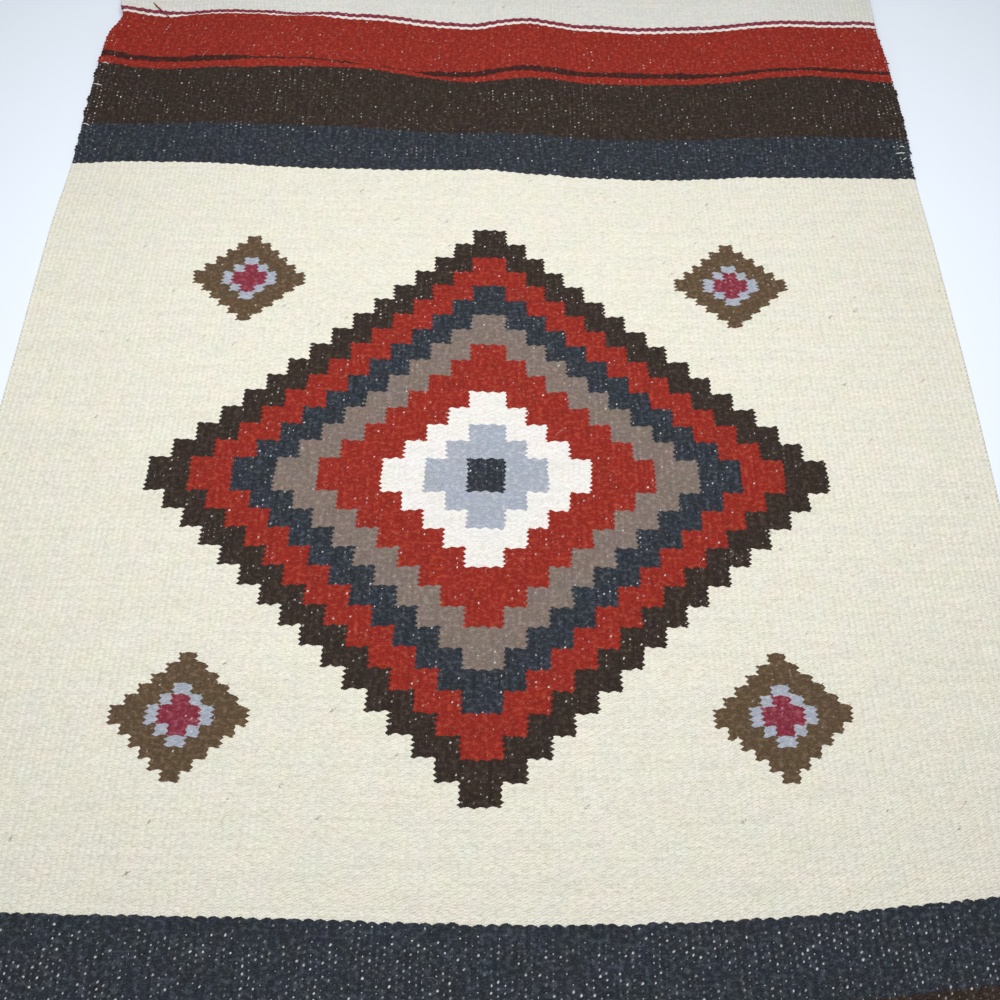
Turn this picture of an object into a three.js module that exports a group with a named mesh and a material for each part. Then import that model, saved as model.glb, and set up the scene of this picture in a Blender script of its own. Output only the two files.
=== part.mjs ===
// A hand-woven wool rug, lying on a floor with a few soft ripples across its far end.
// It is one panel: its two selvedges are part of the weave, and its two ends are plain.
// Millimetres, +Z up. X runs across the rug, Y along it, and the floor is z = 0.

import * as THREE from "three";

// Driving dimensions of the cloth as it left the loom
const rugWidth = 800;
const rugLength = 1500;
const clothThickness = 3;

// The plain field ends this far from the middle, where the end stripes start
const fieldReach = 335;

// Past this place the ripples die away, down to a share of their height at the far end
const rippleFade = { starts: 600, shareAtEnd: 0.4 };

// How finely the sheet is divided
const cellsAcross = 40;
const cellsAlong = 44;

const clothColour = 0xe2dfcc;

// How far each selvedge is drawn in from the full width, at places along the rug
const drawIn = [
  { along: -750, left: 5, right: 4 },
  { along: -600, left: 1, right: 3 },
  { along: -420, left: 3, right: 0 },
  { along: -200, left: 0, right: 3 },
  { along: 60, left: 2, right: 1 },
  { along: 250, left: 1, right: 2 },
  { along: 330, left: 4, right: 4 },
  { along: 430, left: 0.5, right: 0 },
  { along: 490, left: 3, right: 3 },
  { along: 512, left: 6, right: 5 },
  { along: 533, left: 14, right: 7 },
  { along: 560, left: 8, right: 7 },
  { along: 750, left: 8, right: 6 },
];

// How far a weft strays along the rug, across its width. The near stripes curl away at
// their right end, and the far ones slope down from left to right.
const weftDrift = [
  { across: -400, near: 7, far: 16 },
  { across: -350, near: 5.5, far: 9 },
  { across: -300, near: 4.5, far: 4.5 },
  { across: -150, near: 3, far: 0.5 },
  { across: 0, near: 0, far: -2 },
  { across: 100, near: 1, far: -5.5 },
  { across: 180, near: 5, far: -7 },
  { across: 240, near: 10, far: -6.5 },
  { across: 330, near: 19, far: -7.5 },
  { across: 400, near: 26, far: -8 },
];

// Lengthwise ripples: each starts at one place along the rug and is full height at another.
// The two at the selvedges are the far corners, which lift a little.
const ripples = [
  { across: -400, halfWidth: 80, height: 7, starts: 420, full: 520 },
  { across: -210, halfWidth: 185, height: 16, starts: 200, full: 490 },
  { across: 30, halfWidth: 62, height: 8, starts: 300, full: 540 },
  { across: 312, halfWidth: 115, height: 10, starts: 340, full: 460 },
  { across: 400, halfWidth: 70, height: 6, starts: 440, full: 540 },
];

const { smoothstep } = THREE.MathUtils;

// The slope of a table's line at one of its rows
function slopeAt(table, place, value, row) {
  const before = table[Math.max(row - 1, 0)];
  const after = table[Math.min(row + 1, table.length - 1)];
  return (after[value] - before[value]) / (after[place] - before[place]);
}

// A smooth line through the rows of a table, read at one place
function follow(table, place, value, at) {
  const next = Math.max(1, table.findIndex((row) => row[place] >= at));
  const low = table[next - 1];
  const high = table[next];
  const gap = high[place] - low[place];
  const t = (at - low[place]) / gap;
  const leaving = slopeAt(table, place, value, next - 1) * gap;
  const arriving = slopeAt(table, place, value, next) * gap;
  const ease = t * t * (3 - 2 * t);
  return low[value] * (1 - ease) + high[value] * ease
    + leaving * t * (1 - t) ** 2 - arriving * t ** 2 * (1 - t);
}

// How high the ripples lift the underside off the floor
function lift(across, along) {
  const farEnd = rugLength / 2;
  const fade = 1 - (1 - rippleFade.shareAtEnd) * smoothstep(along, rippleFade.starts, farEnd);
  let height = 0;
  for (const ripple of ripples) {
    const offset = Math.abs(across - ripple.across) / ripple.halfWidth;
    const crown = offset < 1 ? (1 + Math.cos(Math.PI * offset)) / 2 : 0;
    height += ripple.height * crown * smoothstep(along, ripple.starts, ripple.full);
  }
  return height * fade;
}

// Where a place on the flat cloth lies on the floor, at a height above its underside
function layCloth(across, along, above) {
  const halfWidth = rugWidth / 2;
  const side = across < 0 ? "left" : "right";
  const narrowing = follow(drawIn, "along", side, along) / halfWidth;
  const end = along < 0 ? "near" : "far";
  const drift = follow(weftDrift, "across", end, across);
  const share = smoothstep(Math.abs(along), 0, fieldReach);
  return [across * (1 - narrowing), along + drift * share, lift(across, along) + above];
}

// The closed sheet: a grid of points on each face, joined by a wall round the rim
function rugGeometry() {
  const points = [];
  for (const above of [clothThickness, 0]) {
    for (let row = 0; row <= cellsAlong; row += 1) {
      for (let column = 0; column <= cellsAcross; column += 1) {
        const across = rugWidth * (column / cellsAcross - 0.5);
        const along = rugLength * (row / cellsAlong - 0.5);
        points.push(...layCloth(across, along, above));
      }
    }
  }

  const top = (row, column) => row * (cellsAcross + 1) + column;
  const under = (row, column) => (cellsAlong + 1) * (cellsAcross + 1) + top(row, column);
  const faces = [];
  const addCell = (a, b, c, d) => faces.push(a, b, c, a, c, d);

  for (let row = 0; row < cellsAlong; row += 1) {
    for (let column = 0; column < cellsAcross; column += 1) {
      addCell(top(row, column), top(row, column + 1), top(row + 1, column + 1), top(row + 1, column));
      addCell(under(row, column), under(row + 1, column), under(row + 1, column + 1), under(row, column + 1));
    }
    const right = cellsAcross;
    addCell(top(row, 0), top(row + 1, 0), under(row + 1, 0), under(row, 0));
    addCell(top(row + 1, right), top(row, right), under(row, right), under(row + 1, right));
  }
  for (let column = 0; column < cellsAcross; column += 1) {
    const far = cellsAlong;
    addCell(top(0, column + 1), top(0, column), under(0, column), under(0, column + 1));
    addCell(top(far, column), top(far, column + 1), under(far, column + 1), under(far, column));
  }

  const geometry = new THREE.BufferGeometry();
  geometry.setAttribute("position", new THREE.Float32BufferAttribute(points, 3));
  geometry.setIndex(faces);
  return geometry;
}

// The origin is under the middle of the rug's box, on the floor
function centreOnFloor(geometry) {
  geometry.computeBoundingBox();
  const middle = geometry.boundingBox.getCenter(new THREE.Vector3());
  geometry.translate(-middle.x, -middle.y, 0);
  geometry.computeVertexNormals();
  return geometry;
}

const wool = new THREE.MeshStandardMaterial({ color: clothColour, roughness: 0.95, metalness: 0 });
const rug = new THREE.Mesh(centreOnFloor(rugGeometry()), wool);
rug.name = "rug";

const part = new THREE.Group();
part.add(rug);

export default part;
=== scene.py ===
"""The looks of a hand-woven wool rug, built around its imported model."""

import math
import random

import bpy
import numpy as np
from mathutils import Matrix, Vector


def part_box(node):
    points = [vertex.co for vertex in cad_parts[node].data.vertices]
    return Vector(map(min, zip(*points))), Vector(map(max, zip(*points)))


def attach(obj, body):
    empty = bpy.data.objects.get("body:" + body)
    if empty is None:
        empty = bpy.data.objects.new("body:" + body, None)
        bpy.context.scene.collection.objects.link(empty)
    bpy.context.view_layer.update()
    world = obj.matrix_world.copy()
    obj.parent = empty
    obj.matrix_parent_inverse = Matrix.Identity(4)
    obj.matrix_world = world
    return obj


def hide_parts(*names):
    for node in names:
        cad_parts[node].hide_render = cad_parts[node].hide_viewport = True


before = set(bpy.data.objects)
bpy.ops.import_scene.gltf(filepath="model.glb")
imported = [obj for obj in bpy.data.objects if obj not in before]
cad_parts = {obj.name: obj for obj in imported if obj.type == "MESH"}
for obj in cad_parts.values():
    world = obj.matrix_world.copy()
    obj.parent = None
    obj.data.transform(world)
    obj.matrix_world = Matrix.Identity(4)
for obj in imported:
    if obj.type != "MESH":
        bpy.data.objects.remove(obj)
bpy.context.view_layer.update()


# The woven panel
# One tapestry weave: thick wool weft, dyed or in the sheep's own colours, is beaten down over
# cotton warps until it hides them. It came off the loom 0.80 x 1.50 m and 3 mm thick, and it
# lies with a few soft ripples across its far end. Sizes are in millimetres up to the mesh.

METRES = 0.001
rug_width = 800.0
rug_length = 1500.0
cloth_thickness = 3.0
field_reach = 335.0
warp_count = 188
pick_count = 732
warp_pitch = rug_width / warp_count
pick_pitch = rug_length / pick_count
rib_depth = 0.5
points_per_warp = 4
rows_along = 60

# The cloth is nowhere quite flat: the mean height that its broad waves lift it by, and how
# far across and how far along each wave goes in one radian
sag = 0.25
sag_waves = [(31, 47), (23, -38)]

# The rows of the mesh lie closest where the cloth ripples: the flat grid's evenly spaced
# rows, and where each goes
even_rows = [-750, -225, 525, 750]
laid_rows = [-750, 300, 600, 750]

# How far each selvedge is drawn in from the full width, at places along the rug. The far
# stripes are drawn in 1.5 to 3 mm more than the model's are, to leave room for their loops.
draw_in = [
    {"along": -750, "left": 5, "right": 4},
    {"along": -600, "left": 1, "right": 3},
    {"along": -420, "left": 3, "right": 0},
    {"along": -200, "left": 0, "right": 3},
    {"along": 60, "left": 2, "right": 1},
    {"along": 250, "left": 1, "right": 2},
    {"along": 330, "left": 4, "right": 4},
    {"along": 430, "left": 2.5, "right": 1.5},
    {"along": 490, "left": 5.5, "right": 4.5},
    {"along": 512, "left": 8.5, "right": 6.5},
    {"along": 533, "left": 17, "right": 9},
    {"along": 560, "left": 11, "right": 9},
    {"along": 750, "left": 8, "right": 6},
]

# How far a weft strays along the rug, across its width, in the near and the far half
weft_drift = [
    {"across": -400, "near": 7, "far": 16},
    {"across": -350, "near": 5.5, "far": 9},
    {"across": -300, "near": 4.5, "far": 4.5},
    {"across": -150, "near": 3, "far": 0.5},
    {"across": 0, "near": 0, "far": -2},
    {"across": 100, "near": 1, "far": -5.5},
    {"across": 180, "near": 5, "far": -7},
    {"across": 240, "near": 10, "far": -6.5},
    {"across": 330, "near": 19, "far": -7.5},
    {"across": 400, "near": 26, "far": -8},
]

# Lengthwise ripples: each starts at one place along the rug and is full height at another
ripples = [
    {"across": -400, "half_width": 80, "height": 7, "starts": 420, "full": 520},
    {"across": -210, "half_width": 185, "height": 16, "starts": 200, "full": 490},
    {"across": 30, "half_width": 62, "height": 8, "starts": 300, "full": 540},
    {"across": 312, "half_width": 115, "height": 10, "starts": 340, "full": 460},
    {"across": 400, "half_width": 70, "height": 6, "starts": 440, "full": 540},
]
ripple_fade = {"starts": 600, "share_at_end": 0.4}

# How early the wefts were beaten in across the far end, at three lines along the rug, and
# where that starts
early_starts = 270
beaten_early = [
    {"across": -400, 335: 9.5, 460: -2.5, 545: 0.7},
    {"across": -365, 335: 2.5, 460: -1.2, 545: 2},
    {"across": -330, 335: -0.5, 460: -0.6, 545: -2.2},
    {"across": -290, 335: -0.6, 460: 0.8, 545: -2},
    {"across": -250, 335: 1.5, 460: 3.8, 545: 3.3},
    {"across": -215, 335: 4.2, 460: 4, 545: 7.8},
    {"across": -180, 335: 5.2, 460: 1.6, 545: 5.8},
    {"across": -150, 335: 4, 460: -0.8, 545: 4.3},
    {"across": -115, 335: 2, 460: -2.8, 545: 0.4},
    {"across": -75, 335: 0, 460: 0.2, 545: 1.2},
    {"across": -40, 335: -2, 460: 2.6, 545: 0.9},
    {"across": -5, 335: -3, 460: 4.8, 545: 1.6},
    {"across": 30, 335: 0.5, 460: 2.5, 545: 0.5},
    {"across": 65, 335: 2.2, 460: -0.5, 545: -1.5},
    {"across": 100, 335: 4, 460: 1, 545: -1},
    {"across": 150, 335: 4.2, 460: 1.8, 545: 1.5},
    {"across": 200, 335: 2.8, 460: 0.3, 545: 0},
    {"across": 250, 335: 0.5, 460: -0.5, 545: 1.5},
    {"across": 300, 335: -0.5, 460: -1, 545: 1.5},
    {"across": 400, 335: 0, 460: -2.5, 545: -0.6},
]


def follow(table, place, value, at):
    """A smooth line through the rows of a table, read at many places at once."""
    places = np.array([row[place] for row in table], float)
    values = np.array([row[value] for row in table], float)
    rows = np.arange(len(table))
    before = np.maximum(rows - 1, 0)
    after = np.minimum(rows + 1, len(table) - 1)
    slopes = (values[after] - values[before]) / (places[after] - places[before])
    at = np.clip(at, places[0], places[-1])
    high = np.clip(np.searchsorted(places, at), 1, len(table) - 1)
    low = high - 1
    gap = places[high] - places[low]
    t = (at - places[low]) / gap
    ease = t * t * (3 - 2 * t)
    leaving = slopes[low] * gap * t * (1 - t) ** 2
    arriving = slopes[high] * gap * t**2 * (1 - t)
    return values[low] * (1 - ease) + values[high] * ease + leaving - arriving


def smoothstep(at, start, end):
    t = np.clip((at - start) / (end - start), 0, 1)
    return t * t * (3 - 2 * t)


def lift(across, along):
    """How high the ripples and the small unevenness of the cloth lift its underside."""
    height = np.zeros_like(across)
    for ripple in ripples:
        offset = np.abs(across - ripple["across"]) / ripple["half_width"]
        crown = np.where(offset < 1, (1 + np.cos(np.pi * offset)) / 2, 0)
        height += ripple["height"] * crown * smoothstep(along, ripple["starts"], ripple["full"])
    fall = 1 - ripple_fade["share_at_end"]
    height *= 1 - fall * smoothstep(along, ripple_fade["starts"], rug_length / 2)
    waves = sum(np.sin(across / wide + along / long) for wide, long in sag_waves)
    return height + sag * (1 + waves / 2)


def lay(across, along, above):
    """Where places on the flat cloth lie in the model, at heights above its underside."""
    half_width = rug_width / 2
    left = follow(draw_in, "along", "left", along)
    right = follow(draw_in, "along", "right", along)
    narrowing = np.where(across < 0, left, right) / half_width
    near = follow(weft_drift, "across", "near", across)
    far = follow(weft_drift, "across", "far", across)
    share = smoothstep(np.abs(along), 0, field_reach)
    x = across * (1 - narrowing)
    y = along + np.where(along < 0, near, far) * share
    return np.stack([x, y, lift(across, along) + above], -1) * METRES + cloth_place


def weave_uv(across, along):
    """Where places on the flat cloth lie in the weave, as shares of its width and length."""
    lines = sorted(key for key in beaten_early[0] if key != "across")
    early = [follow(beaten_early, "across", line, across) for line in lines]
    amount = early[0] * smoothstep(along, early_starts, lines[0])
    for line, after, change in zip(lines, lines[1:], np.diff(early, axis=0)):
        amount += change * smoothstep(along, line, after)
    return np.stack([across / rug_width, (along + amount) / rug_length], -1) + 0.5


def read_points(mesh):
    points = np.empty(len(mesh.vertices) * 3)
    mesh.vertices.foreach_get("co", points)
    return points.reshape(-1, 3)


def write_points(mesh, points):
    mesh.vertices.foreach_set("co", points.ravel())
    mesh.update()


def write_uv(mesh, uv):
    """Stores each vertex's place in the weave as the mesh's map."""
    corners = np.empty(len(mesh.loops), int)
    mesh.loops.foreach_get("vertex_index", corners)
    mesh.uv_layers["cloth"].data.foreach_set("uv", uv[corners].ravel())


bpy.ops.object.select_all(action="DESELECT")
bpy.ops.mesh.primitive_grid_add(
    x_subdivisions=warp_count * points_per_warp,
    y_subdivisions=rows_along,
    size=1,
    calc_uvs=True,
)
panel = bpy.context.object
panel.name = "woven_panel"
panel.data.uv_layers[0].name = "cloth"
bpy.ops.object.mode_set(mode="EDIT")
bpy.ops.mesh.select_all(action="SELECT")
bpy.ops.transform.resize(value=(rug_width * METRES, rug_length * METRES, 1))
bpy.ops.object.mode_set(mode="OBJECT")

thickness = panel.modifiers.new("thickness", "SOLIDIFY")
thickness.thickness = cloth_thickness * METRES
thickness.offset = -1
bpy.ops.object.modifier_apply(modifier=thickness.name)

# The flat cloth is laid with its middle where its box is centred on the model's box
cloth_place = np.zeros(3)
flat_points = read_points(panel.data) / METRES
across = flat_points[:, 0]
along = np.interp(flat_points[:, 1], even_rows, laid_rows)
on_face = flat_points[:, 2] > -cloth_thickness / 2
rib = rib_depth * (1 - np.cos(2 * np.pi * across / warp_pitch)) / 2
above = np.where(on_face, cloth_thickness - rib, rib)
laid = lay(across, along, above)
rug_low, rug_high = (np.array(corner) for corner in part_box("rug"))
cloth_place = (rug_low + rug_high) / 2 - (laid.min(0) + laid.max(0)) / 2
cloth_place[2] = 0
write_points(panel.data, lay(across, along, above))
write_uv(panel.data, weave_uv(across, along))
bpy.ops.object.shade_smooth_by_angle(angle=math.radians(50))


class Nodes:
    """Adds nodes to one node tree. Each method returns the new node's output."""

    def __init__(self, tree):
        self.tree = tree

    def wire(self, socket, value):
        if isinstance(value, bpy.types.NodeSocket):
            self.tree.links.new(value, socket)
        else:
            socket.default_value = value

    def make(self, kind, inputs, output=0, **settings):
        node = self.tree.nodes.new("ShaderNode" + kind)
        for name, setting in settings.items():
            setattr(node, name, setting)
        for name, value in inputs.items():
            self.wire(node.inputs[name], value)
        return node.outputs[output]

    def math(self, operation, *values):
        return self.make("Math", dict(enumerate(values)), operation=operation)

    def add(self, first, *others):
        for other in others:
            first = self.math("ADD", first, other)
        return first

    def subtract(self, first, second):
        return self.math("SUBTRACT", first, second)

    def multiply(self, first, *others):
        for other in others:
            first = self.math("MULTIPLY", first, other)
        return first

    def size(self, value):
        return self.math("ABSOLUTE", value)

    def less(self, value, limit):
        return self.math("LESS_THAN", value, limit)

    def vector(self, operation, *values):
        output = "Value" if operation == "LENGTH" else "Vector"
        return self.make("VectorMath", dict(enumerate(values)), output, operation=operation)

    def scale(self, value, amount):
        return self.make("VectorMath", {"Vector": value, "Scale": amount}, operation="SCALE")

    def split(self, place):
        node = self.make("SeparateXYZ", {0: place}).node
        return node.outputs["X"], node.outputs["Y"]

    def join(self, x, y):
        return self.make("CombineXYZ", {"X": x, "Y": y})

    def noise(self, place, scale, detail=1.0, output="Fac"):
        scaled = self.vector("MULTIPLY", place, scale)
        inputs = {"Vector": scaled, "Scale": 1, "Detail": detail}
        return self.make("TexNoise", inputs, output, noise_dimensions="2D")

    def chance(self, place, shift=(0, 0, 0)):
        """A different number from 0 to 1 for each whole place."""
        shifted = self.vector("ADD", place, shift)
        return self.make("TexWhiteNoise", {"Vector": shifted}, "Value", noise_dimensions="2D")

    def remap(self, value, low, high, to_low=0.0, to_high=1.0):
        inputs = {"Value": value, "From Min": low, "From Max": high}
        inputs |= {"To Min": to_low, "To Max": to_high}
        return self.make("MapRange", inputs, "Result", interpolation_type="SMOOTHSTEP")

    def blend(self, share, first, second, kind="MIX"):
        inputs = {0: share, 6: first, 7: second}
        return self.make("Mix", inputs, 2, data_type="RGBA", blend_type=kind)


def dye(red, green, blue, amount=1.0):
    """A colour as a screen shows it, as Blender's linear one."""

    def linear(level):
        level /= 255
        return level / 12.92 if level <= 0.04045 else ((level + 0.055) / 1.055) ** 2.4

    return (linear(red), linear(green), linear(blue), amount)


# The wools: the yarn's main colour, the colour of the fibres carded into it, and in the
# first colour's alpha how much of the white warp peeps out between its wefts
wools = {
    "cream": (dye(236, 232, 216, 0.0), dye(210, 205, 186)),
    # The ends' cream is the field's cream painted greyer and cooler: painted shade for the dimmer,
    # cooler light over the far end
    "shaded end cream": (dye(228, 227, 219, 0.0), dye(208, 205, 195)),
    "charcoal": (dye(43, 47, 53, 0.9), dye(88, 94, 103)),
    "brown": (dye(50, 41, 36, 0.8), dye(88, 75, 66)),
    "red": (dye(140, 38, 32, 0.5), dye(184, 84, 62)),
    "dark line": (dye(58, 34, 31, 0.5), dye(100, 58, 50)),
    "white": (dye(238, 235, 229, 0.0), dye(220, 212, 204)),
    "maroon": (dye(126, 42, 57, 0.6), dye(176, 104, 114)),
    "taupe": (dye(122, 107, 99, 0.4), dye(162, 148, 138)),
    "grey": (dye(160, 166, 178, 0.1), dye(202, 205, 210)),
    "olive": (dye(90, 72, 54, 0.4), dye(134, 114, 90)),
}

# Which wool starts at which pick, counted from the middle towards either end. The last row
# only closes the table.
stripes = [
    (158, "cream"),
    (164, "charcoal"),
    (189, "brown"),
    (227, "red"),
    (265, "white"),
    (267, "maroon"),
    # Both end bands take the cream with painted shade
    (270, "shaded end cream"),
    (273, "shaded end cream"),
]

# The thin lines, in picks from the middle: the dark one's place and half its width, and
# where the white one starts and the maroon one ends. From white_line_limit to the white
# line the wool is red again, and from the maroon line to maroon_line_limit it is cream.
dark_line = 233.2
dark_line_reach = 1.8
white_line_starts = 264.6
white_line_limit = 264.0
maroon_line_ends = 269.4
maroon_line_limit = 270.2

# Which wool starts at which step of a stepped diamond, counted from its centre, and how
# many warps and picks a step has. The last row is the field round it.
medallion = [
    (0, "charcoal"),
    (1, "grey"),
    (3, "white"),
    (5, "red"),
    (8, "taupe"),
    (10, "charcoal"),
    (12, "red"),
    (14, "brown"),
    (16, "cream"),
]
medallion_middle = (0, 0)
medallion_step = (4, 8)
corner_diamond = [(0, "maroon"), (2, "grey"), (3, "olive"), (6, "cream")]
corner_middle = (50, 98)
corner_step = (2, 4)


def wool_ramps(n, bands, count):
    """The yarn colour, the fibre colour and the warp share of the band that a count is in."""
    first, last = bands[0][0], bands[-1][0]
    place = n.math("DIVIDE", n.subtract(count, first - 0.5), last - first)
    ramps = []
    for which in range(2):
        ramp = n.make("ValToRGB", {0: place}).node
        ramp.color_ramp.interpolation = "CONSTANT"
        stops = ramp.color_ramp.elements
        stops.remove(stops[1])
        stops[0].color = wools[bands[0][1]][which]
        for start, wool in bands[1:]:
            stop = stops.new(min((start - first) / (last - first), 0.999))
            stop.color = wools[wool][which]
        ramps.append(ramp.outputs)
    return ramps[0]["Color"], ramps[1]["Color"], ramps[0]["Alpha"]


def weft_float_group():
    """Finds the float that covers a place. A weft covers warp i at pick j where i + j is even.

    Places are counted in warps and picks. Each place belongs to the float whose centre is
    nearest in millimetres.
    """
    tree = bpy.data.node_groups.new("weft float", "ShaderNodeTree")
    tree.interface.new_socket("Place", in_out="INPUT", socket_type="NodeSocketVector")
    tree.interface.new_socket("Centre", in_out="OUTPUT", socket_type="NodeSocketVector")
    tree.interface.new_socket("Offset", in_out="OUTPUT", socket_type="NodeSocketVector")
    n = Nodes(tree)
    place = tree.nodes.new("NodeGroupInput").outputs["Place"]
    half = n.vector("MULTIPLY", place, (0.5, 0.5, 0))
    rounded = n.vector("FLOOR", n.vector("ADD", half, (0.5, 0.5, 0)))
    even = n.vector("MULTIPLY", rounded, (2, 2, 0))
    odd = n.vector("MULTIPLY_ADD", n.vector("FLOOR", half), (2, 2, 0), (1, 1, 0))
    reach = []
    for centre in (even, odd):
        offset = n.vector("SUBTRACT", place, centre)
        reach.append(n.vector("LENGTH", n.vector("MULTIPLY", offset, (warp_pitch, pick_pitch, 0))))
    nearer_odd = n.less(reach[1], reach[0])
    step = n.vector("SUBTRACT", odd, even)
    centre = n.vector("MULTIPLY_ADD", step, n.join(nearer_odd, nearer_odd), even)
    result = tree.nodes.new("NodeGroupOutput")
    n.wire(result.inputs["Centre"], centre)
    n.wire(result.inputs["Offset"], n.vector("SUBTRACT", place, centre))
    return tree


weft_float = weft_float_group()


def find_float(n, place):
    node = n.tree.nodes.new("ShaderNodeGroup")
    node.node_tree = weft_float
    n.wire(node.inputs["Place"], place)
    return node.outputs["Centre"], node.outputs["Offset"]


def diamond_step(n, x, y, middle, step):
    """Which step of a stepped diamond a place is on, in warps x and picks y from the middle."""
    steps = []
    for value, centre, width in zip((x, y), middle, step):
        away = n.add(n.size(n.subtract(value, centre)), 0.5)
        steps.append(n.math("FLOOR", n.math("DIVIDE", away, width)))
    return n.add(*steps)


def woven_wool():
    material = bpy.data.materials.new("woven_wool")
    material.use_nodes = True
    n = Nodes(material.node_tree)
    shader = material.node_tree.nodes["Principled BSDF"]

    # Places on the cloth from its middle, in millimetres, and in warps and picks. Uneven
    # beating makes the lines of both wander a little.
    uv = n.make("UVMap", {}, "UV", uv_map="cloth")
    from_middle = n.vector("SUBTRACT", uv, (0.5, 0.5, 0))
    flat = n.vector("MULTIPLY", from_middle, (rug_width, rug_length, 0))
    wander = n.vector("SUBTRACT", n.noise(flat, (0.05, 0.04, 0), 1, "Color"), (0.5, 0.5, 0.5))
    counted = n.vector("MULTIPLY", from_middle, (warp_count, pick_count, 0))
    beaten = n.vector("MULTIPLY_ADD", wander, (0.8, 1.4, 0), counted)
    x, y = n.split(beaten)
    centre, offset = find_float(n, beaten)

    # Spun fibres: streaks that lean with the yarn's twist, fuzz and small smudges of carded
    # wool that lie anyhow, and marks that run along single warps
    leaning = math.radians(-17)
    turned = n.make("VectorRotate", {"Vector": flat, "Angle": leaning}, rotation_type="Z_AXIS")
    streak = n.noise(turned, (0.3, 1.5, 0), 2)
    fuzz = n.noise(flat, (0.8, 0.75, 0), 2)
    smudge = n.noise(flat, (0.24, 0.32, 0), 2)
    column = n.noise(flat, (0.4, 0.06, 0), 1)

    # Colours meet in scallops of uneven height along a weft, and in teeth on a shared warp
    scallop_at = n.add(x, n.math("GREATER_THAN", y, 0))
    arch = n.size(n.math("COSINE", n.multiply(scallop_at, math.pi / 2)))
    scallop_number = n.math("ROUND", n.multiply(scallop_at, 0.5))
    height = n.remap(n.chance(n.join(scallop_number, 8.3)), 0, 1, 0.4, 0.85)
    scallop = n.multiply(n.subtract(arch, 0.6), height)
    ruffle = n.multiply(n.subtract(fuzz, 0.5), 0.45)
    row = n.add(n.subtract(y, scallop), ruffle)
    tooth = n.add(n.subtract(n.math("PINGPONG", y, 1.0), 0.5), n.multiply(ruffle, 0.4))
    tooth_number = n.math("ROUND", n.multiply(y, 0.5))
    bite = n.remap(n.chance(n.join(3.7, tooth_number)), 0, 1, 0.3, 0.75)
    toothed = n.add(x, n.multiply(tooth, bite))
    row_out = n.size(row)
    yarn, fibre, bare = wool_ramps(n, stripes, row_out)

    designs = [
        (medallion, toothed, row, medallion_middle, medallion_step),
        (corner_diamond, n.size(toothed), row_out, corner_middle, corner_step),
    ]
    for bands, along_weft, along_warp, middle, step in designs:
        count = diamond_step(n, along_weft, along_warp, middle, step)
        inside = n.less(count, bands[-1][0] - 0.5)
        in_yarn, in_fibre, in_bare = wool_ramps(n, bands, count)
        yarn = n.blend(inside, yarn, in_yarn)
        fibre = n.blend(inside, fibre, in_fibre)
        bare = n.add(bare, n.multiply(inside, n.subtract(in_bare, bare)))

    # The thin lines in the red and beside it. The dark one is pushed towards the brown at two
    # places and thinned at two, and over one stretch the white one is almost worn away and
    # the maroon one is thinned. Those places are in millimetres across the rug.
    across_mm = n.split(flat)[0]
    uneven = n.subtract(n.noise(flat, (0.05, 0.01, 0)), 0.5)
    pushed = n.remap(n.size(n.add(across_mm, 98)), 15, 115, 3.4, 0)
    pushed = n.add(pushed, n.remap(n.size(n.subtract(across_mm, 290)), 50, 120, 1.3, 0))
    thinned = n.remap(n.size(n.add(across_mm, 160)), 75, 110, 1.4, 0)
    thinned = n.add(thinned, n.remap(across_mm, 180, 250, 0, 0.7))
    dark_reach = n.add(n.subtract(dark_line_reach, thinned), n.multiply(uneven, 1.5))
    from_dark = n.size(n.add(n.subtract(row_out, dark_line), pushed))
    on_dark = n.less(from_dark, dark_reach)
    worn = n.remap(n.size(n.add(across_mm, 255)), 60, 105, 1, 0)
    worn = n.multiply(worn, n.add(1.0, uneven))
    white_start = n.add(white_line_starts, n.multiply(worn, 1.5))
    maroon_end = n.subtract(maroon_line_ends, n.multiply(worn, 0.6))
    off_white = n.multiply(n.less(white_line_limit, row_out), n.less(row_out, white_start))
    off_maroon = n.multiply(n.less(maroon_end, row_out), n.less(row_out, maroon_line_limit))
    # Where the maroon line is thinned, the ends' cream with its painted shade fills in
    for there, wool in ((on_dark, "dark line"), (off_white, "red"), (off_maroon, "shaded end cream")):
        yarn = n.blend(there, yarn, wools[wool][0])
        fibre = n.blend(there, fibre, wools[wool][1])

    # The float's own rounded form: two strands side by side that lean with their twist
    float_x, float_y = n.split(offset)
    lean = n.subtract(float_y, n.multiply(float_x, 0.65))
    rough = n.multiply(n.subtract(smudge, 0.5), 1.2)
    strand = n.size(n.math("SINE", n.multiply(n.add(lean, rough), math.pi)))
    from_centre = n.vector("LENGTH", n.vector("MULTIPLY", offset, (0.8, 0.7, 0)))
    dome = n.remap(n.subtract(1.0, from_centre), 0, 0.8)
    swell = n.add(n.multiply(dome, 0.45), n.multiply(strand, 0.55))

    # How much of the carded fibre shows
    carded = n.add(
        n.remap(smudge, 0.45, 0.75, 0, 0.45),
        n.remap(streak, 0.5, 0.8, 0, 0.3),
        n.remap(fuzz, 0.5, 0.8, 0, 0.3),
    )
    colour = n.blend(carded, yarn, fibre)
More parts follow.
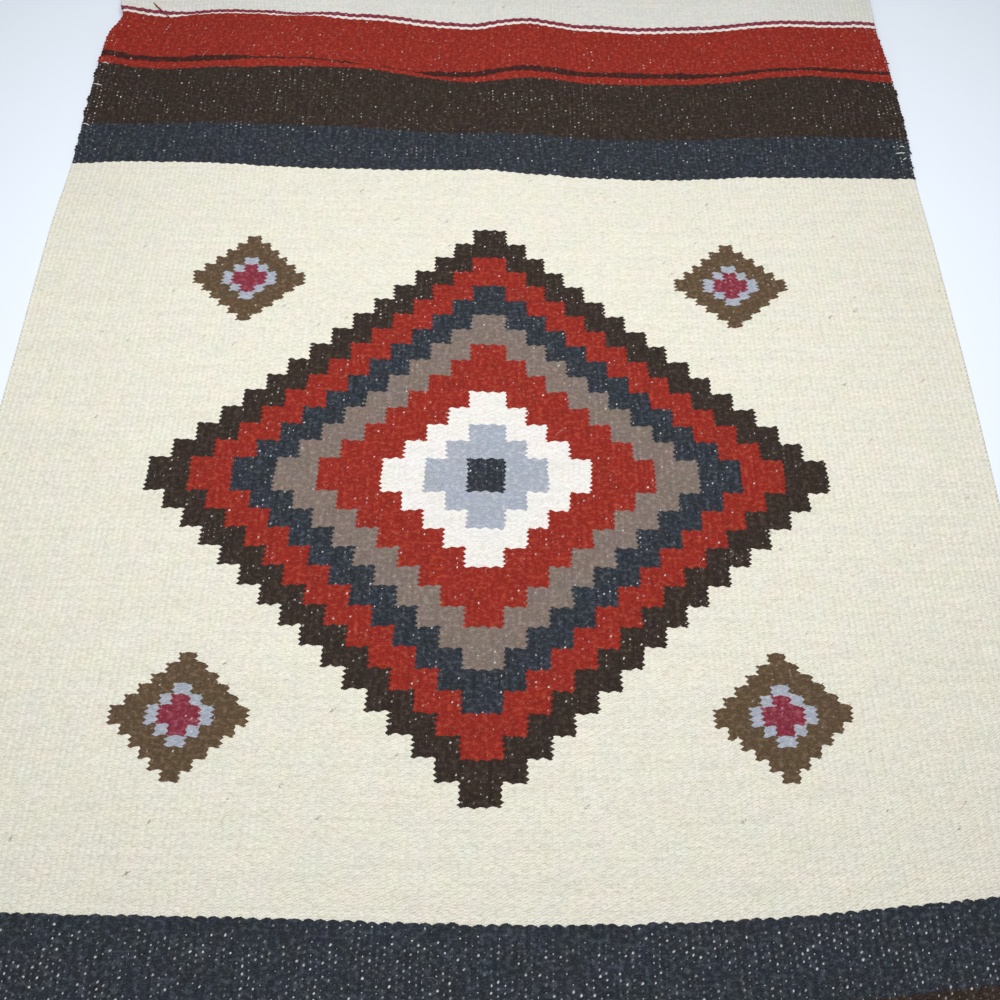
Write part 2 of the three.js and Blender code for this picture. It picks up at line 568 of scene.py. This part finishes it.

    # Light and dark from float to float and row to row, and painted shade that darkens the colour
    # down between the floats. The dark wools are less even, and all have a faint cast of colour here
    # and there.
    by_float = n.remap(n.chance(centre), 0, 1, 0.98, 1.02)
    by_pick = n.remap(n.noise(flat, (0.01, 0.3, 0)), 0.3, 0.7, 0.975, 1.02)
    # Painted shade: the colour darkens where the float's form dips low, between the floats
    painted_shade_between_floats = n.remap(swell, 0.1, 0.8, 0.93, 1.02)
    by_warp = n.add(1.0, n.multiply(n.subtract(column, 0.5), bare, 0.9))
    # level holds the random tone from float, pick and warp, and the painted shade between the floats
    level = n.multiply(by_float, by_pick, painted_shade_between_floats, by_warp)
    blotch = n.vector("SUBTRACT", n.noise(flat, (0.05, 0.045, 0), 1, "Color"), (0.5, 0.5, 0.5))
    strength = n.scale((0.08, 0.05, 0.1), n.add(1.0, n.multiply(bare, 1.8)))
    cast = n.vector("MULTIPLY_ADD", blotch, strength, (1, 1, 1))
    colour = n.blend(1.0, colour, cast, "MULTIPLY")
    colour = n.blend(1.0, colour, level, "MULTIPLY")

    # White cotton warp, peeping out between two floats on the same warp, more so in the
    # near stripes, along some picks and warps and at the selvedges, and less where the
    # charcoal starts
    gap, gap_offset = find_float(n, n.vector("ADD", beaten, (0, 1, 0)))
    gap_x, gap_y = n.split(n.vector("MULTIPLY", gap_offset, (warp_pitch, pick_pitch, 0)))
    slanted = n.join(n.subtract(gap_x, n.multiply(gap_y, 0.3)), n.multiply(gap_y, 0.9))
    speck = n.add(n.vector("LENGTH", slanted), n.multiply(ruffle, 1.6))
    speck_reach = n.remap(n.chance(gap, (17.3, 5.1, 0)), 0, 1, 0.4, 1.05)
    speck = n.remap(speck, n.multiply(speck_reach, 0.3), speck_reach, 1, 0)
    slack_picks = n.remap(n.noise(flat, (0.007, 0.08, 0)), 0.4, 0.7, 0.3, 1.0)
    slack_warps = n.remap(column, 0.4, 0.7, 0.5, 1.9)
    slack_end = n.remap(y, -160, -120, 1.6, 0.42)
    at_edge = n.remap(n.size(x), 89, 93, 1.0, 5.0)
    tight_start = n.remap(n.size(n.subtract(row_out, 165)), 1, 5, 0.2, 1.0)
    likely = n.multiply(slack_picks, slack_warps, slack_end, at_edge, tight_start, bare)
    shows = n.less(n.chance(gap), likely)
    bright = n.chance(gap, (3.1, 41.7, 0))
    bright = n.add(0.15, n.multiply(bright, bright, 0.85))
    colour = n.blend(n.multiply(speck, shows, bright), colour, dye(228, 228, 224))

    # Bits of straw and seed left in the fleece
    scraps_at = n.vector("MULTIPLY_ADD", turned, (0.045, 0.07, 0), n.join(ruffle, ruffle))
    scraps = n.make("TexVoronoi", {"Vector": scraps_at, "Scale": 1}, voronoi_dimensions="2D").node
    scrap_size, scrap_number = n.split(scraps.outputs["Color"])
    near_scrap = n.remap(scraps.outputs["Distance"], 0.02, n.remap(scrap_size, 0, 1, 0.04, 0.1), 1, 0)
    kept = n.less(scrap_number, 0.1)
    plain = n.subtract(0.75, n.multiply(bare, 0.8))
    colour = n.blend(n.multiply(near_scrap, kept, plain), colour, dye(104, 88, 70))

    n.wire(shader.inputs["Base Color"], colour)
    shader.inputs["Roughness"].default_value = 0.95
    shader.inputs["Specular IOR Level"].default_value = 0.1

    # Relief: the floats and the spun fibres on them, in millimetres
    spun = n.multiply(n.add(streak, fuzz), 0.34)
    relief = n.add(n.multiply(swell, 0.44), spun)
    bump = n.make("Bump", {"Height": relief, "Distance": METRES})
    n.wire(shader.inputs["Normal"], bump)
    return material


wool = woven_wool()
panel.data.materials.append(wool)
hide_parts("rug")


# The selvedges and the ends
# Down each side every second pick turns round the last warp, which leaves a row of small
# loops of the stripe's own wool. They bulge a few at a time, most of all in the stripes.
# Across each end the warps turn back round the last pick.

turn_random = random.Random(11)
turn_depth = 1.5
turn_inside = 2.4
least_reach = 0.2
bulge_in_stripes = 4.6
bulge_elsewhere = 1.0
stripes_reach = 556.0


def model_turn():
    """One loop, as a bead one unit in radius."""
    bpy.ops.object.select_all(action="DESELECT")
    bpy.ops.mesh.primitive_uv_sphere_add(segments=8, ring_count=6, radius=1)
    bead = bpy.context.object
    points = read_points(bead.data)
    faces = [tuple(face.vertices) for face in bead.data.polygons]
    bpy.data.objects.remove(bead)
    return points, faces


def mesh_on_cloth(name, flat_cloud, faces, uv, material):
    """A smooth mesh from points over the flat cloth, laid as the cloth is."""
    mesh = bpy.data.meshes.new(name)
    mesh.from_pydata(lay(*flat_cloud.T).tolist(), [], faces)
    mesh.uv_layers.new(name="cloth")
    write_uv(mesh, uv)
    mesh.materials.append(material)
    mesh.shade_smooth()
    piece = bpy.data.objects.new(name, mesh)
    bpy.context.scene.collection.objects.link(piece)
    return piece


def lay_turns(name, edges, outward, pitch):
    """A loop at each place on the cloth's edges, reaching out along one axis, as one mesh."""
    shape, shape_faces = model_turn()
    cloud = []
    faces = []
    left_in_bulge = 0
    for edge in edges:
        if left_in_bulge == 0:
            loops_in_bulge = turn_random.randint(3, 6)
            left_in_bulge = loops_in_bulge
            fullness = turn_random.uniform(0.5, 1)
        round_off = math.sin(math.pi * (left_in_bulge - 0.5) / loops_in_bulge)
        left_in_bulge -= 1
        in_stripes = outward == 0 and field_reach < abs(edge[1]) < stripes_reach
        bulge = bulge_in_stripes if in_stripes else bulge_elsewhere
        reach = least_reach + fullness * round_off * bulge
        middle = np.array([*edge, cloth_thickness / 2])
        middle[outward] += math.copysign((reach - turn_inside) / 2, middle[outward])
        size = np.full(3, pitch * turn_random.uniform(0.46, 0.6))
        size[outward] = (reach + turn_inside) / 2
        size[2] = turn_depth
        start = len(cloud) * len(shape)
        faces += [tuple(start + corner for corner in face) for face in shape_faces]
        cloud.append(shape * size + middle)
    cloud = np.concatenate(cloud)
    return mesh_on_cloth(name, cloud, faces, weave_uv(*cloud[:, :2].T), wool)


side_places = [
    (side * rug_width / 2, (row + 0.5) * 2 * pick_pitch - rug_length / 2)
    for side in (-1, 1)
    for row in range(pick_count // 2)
]
selvedges = lay_turns("selvedge_turns", side_places, 0, 2 * pick_pitch)

end_places = [
    ((column + 0.5) * warp_pitch - rug_width / 2, end * rug_length / 2)
    for end in (-1, 1)
    for column in range(warp_count)
]
ends = lay_turns("end_turns", end_places, 1, warp_pitch)


# Loose wool
# Where the weft changes colour its cut end sticks out of the selvedge by a few millimetres.
# Long coarse hairs of the fleece also work out of the yarn and lie over the weave in curls.

loose_random = random.Random(5)
thread_steps = 12
tails_a_side = 22
tail_picks = (165, 269)
hair_count = 110


def wandering_path(across_at, along_at, heading, length, bend, curl, heights):
    """A path over the flat cloth. Its heights start, peak and end as given."""
    path = []
    for step in range(thread_steps + 1):
        share = step / thread_steps
        above = np.interp(share, (0, 0.5, 1), heights)
        path.append((across_at, along_at, above))
        bend += loose_random.uniform(-curl, curl)
        heading += bend
        across_at += math.cos(heading) * length / thread_steps
        along_at += math.sin(heading) * length / thread_steps
    return np.array(path)


def lay_threads(name, threads, sides, material):
    """Tapering threads as one mesh, each from a path, a radius and a place in its wool."""
    cloud = []
    faces = []
    uv = []
    for path, radius, wool_place in threads:
        start = len(cloud) * (thread_steps + 1) * sides
        ahead = np.gradient(path[:, :2], axis=0)
        ahead /= np.linalg.norm(ahead, axis=1)[:, None]
        sideways = np.stack([-ahead[:, 1], ahead[:, 0], np.zeros(len(path))], -1)
        width = radius * np.sin(np.linspace(0.15, 0.88, len(path)) * np.pi)[:, None]
        turns = np.arange(sides) * 2 * np.pi / sides
        rings = [
            path + width * (math.cos(turn) * sideways + math.sin(turn) * np.array([0, 0, 1]))
            for turn in turns
        ]
        cloud.append(np.stack(rings, 1).reshape(-1, 3))
        uv += [np.array(wool_place) / (rug_width, rug_length) + 0.5] * len(cloud[-1])
        for step in range(thread_steps):
            for side in range(sides):
                a = start + step * sides + side
                b = start + step * sides + (side + 1) % sides
                faces.append((a, b, b + sides, a + sides))
        last = start + thread_steps * sides
        faces.append(tuple(range(start + sides - 1, start - 1, -1)))
        faces.append(tuple(range(last, last + sides)))
    return mesh_on_cloth(name, np.concatenate(cloud), faces, np.array(uv), material)


tails = []
for end in (-1, 1):
    for side in (-1, 1):
        for _ in range(tails_a_side):
            pick = loose_random.uniform(*tail_picks)
            path = wandering_path(
                across_at=side * (rug_width / 2 - 3),
                along_at=end * pick * pick_pitch,
                heading=(0 if side > 0 else math.pi) + loose_random.uniform(-0.6, 0.6),
                length=loose_random.uniform(5, 9),
                bend=loose_random.uniform(-0.15, 0.15),
                curl=0.05,
                heights=(2.0, 1.8, 0.9),
            )
            place = (side * 397, end * round(pick) * pick_pitch)
            tails.append((path, loose_random.uniform(0.6, 1.0), place))

# Where the thin lines start, the maroon crosses over the white and one end stands clear.
# Elsewhere a few bits of pale yarn show beside the dark selvedges.
crossing = wandering_path(-350, 541, 2.25, 26, 0.02, 0.03, (2.9, 3.5, 3.6))
tails.append((crossing, 1.2, (-350, 268 * pick_pitch)))
for across_at, along_at, heading, length in (
    (-394, 379, 2.7, 8),
    (-392, 436, 2.9, 9),
    (-391, 465, 2.6, 7),
    (388, 369, 0.1, 10),
    (394, 361, 0.3, 5),
    (393, 378, 0.2, 5),
):
    path = wandering_path(across_at, along_at, heading, length, 0, 0.04, (2.9, 3.4, 2.6))
    tails.append((path, 0.5, (across_at, 266 * pick_pitch)))
weft_tails = lay_threads("weft_tails", tails, 6, wool)

hairs = []
for _ in range(hair_count):
    path = wandering_path(
        across_at=loose_random.uniform(-0.49, 0.49) * rug_width,
        along_at=loose_random.uniform(-0.49, 0.49) * rug_length,
        heading=loose_random.uniform(0, 2 * math.pi),
        length=loose_random.uniform(5, 16),
        bend=loose_random.uniform(-0.2, 0.2),
        curl=0.12,
        heights=(3.1, 3.1 + loose_random.uniform(0.2, 1.2), 3.1),
    )
    hairs.append((path, loose_random.uniform(0.06, 0.1), (0, 0)))


def pale_hair():
    material = bpy.data.materials.new("pale_hair")
    material.use_nodes = True
    n = Nodes(material.node_tree)
    shader = material.node_tree.nodes["Principled BSDF"]
    place = n.make("TexCoord", {}, "Object")
    tone = n.remap(n.noise(place, (40, 40, 0)), 0.35, 0.65)
    n.wire(shader.inputs["Base Color"], n.blend(tone, dye(178, 164, 142), dye(236, 232, 220)))
    shader.inputs["Roughness"].default_value = 0.6
    return material


fibres = lay_threads("loose_fibres", hairs, 3, pale_hair())

loose_pieces = [selvedges, ends, weft_tails, fibres]
for piece in [panel] + loose_pieces:
    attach(piece, "root")


# The floor, the light and the camera
# The rug lies on a smooth pale floor, just clear of it so that the two don't share a plane.
# One broad soft lamp hangs over it in an even pale room. These sizes are in metres.

floor_drop = 0.0003

bpy.ops.object.select_all(action="DESELECT")
bpy.ops.mesh.primitive_plane_add(size=8, location=(0, 0, -floor_drop))
floor = bpy.context.object
floor.name = "floor"
pale_floor = bpy.data.materials.new("pale_floor")
pale_floor.use_nodes = True
floor_finish = pale_floor.node_tree.nodes["Principled BSDF"].inputs
floor_finish["Base Color"].default_value = dye(238, 245, 254)
floor_finish["Roughness"].default_value = 0.9
floor.data.materials.append(pale_floor)

world = bpy.data.worlds.new("studio")
bpy.context.scene.world = world
world.use_nodes = True
room = world.node_tree.nodes["Background"].inputs
room["Color"].default_value = dye(240, 244, 250)
room["Strength"].default_value = 0.36

light = bpy.data.lights.new("overhead", "AREA")
light.size = 0.85
light.energy = 11.4
lamp = bpy.data.objects.new("overhead", light)
bpy.context.scene.collection.objects.link(lamp)
lamp.location = (0.0, 0.12, 1.03)
lamp.rotation_euler = (-lamp.location).to_track_quat("-Z", "Y").to_euler()

# The camera stands over the near half and looks down at 60 degrees, a little to the left.
# Its place is in millimetres from the middle of the rug's face.
eye_above_face = 743.0
eye_across = 14.4
eye_along = -452.0
down = math.radians(59.98)
turned_left = math.radians(0.45)
lens_pixels = 1100
picture_pixels = 1000

camera_data = bpy.data.cameras.new("camera")
camera_data.sensor_width = 36
camera_data.lens = camera_data.sensor_width * lens_pixels / picture_pixels
camera = bpy.data.objects.new("camera", camera_data)
bpy.context.scene.collection.objects.link(camera)
eye = np.array([eye_across, eye_along, cloth_thickness + eye_above_face]) * METRES + cloth_place
camera.matrix_world = (
    Matrix.Translation(eye)
    @ Matrix.Rotation(turned_left, 4, "Z")
    @ Matrix.Rotation(math.pi / 2 - down, 4, "X")
)
bpy.context.scene.camera = camera
bpy.context.scene.view_settings.view_transform = "Standard"
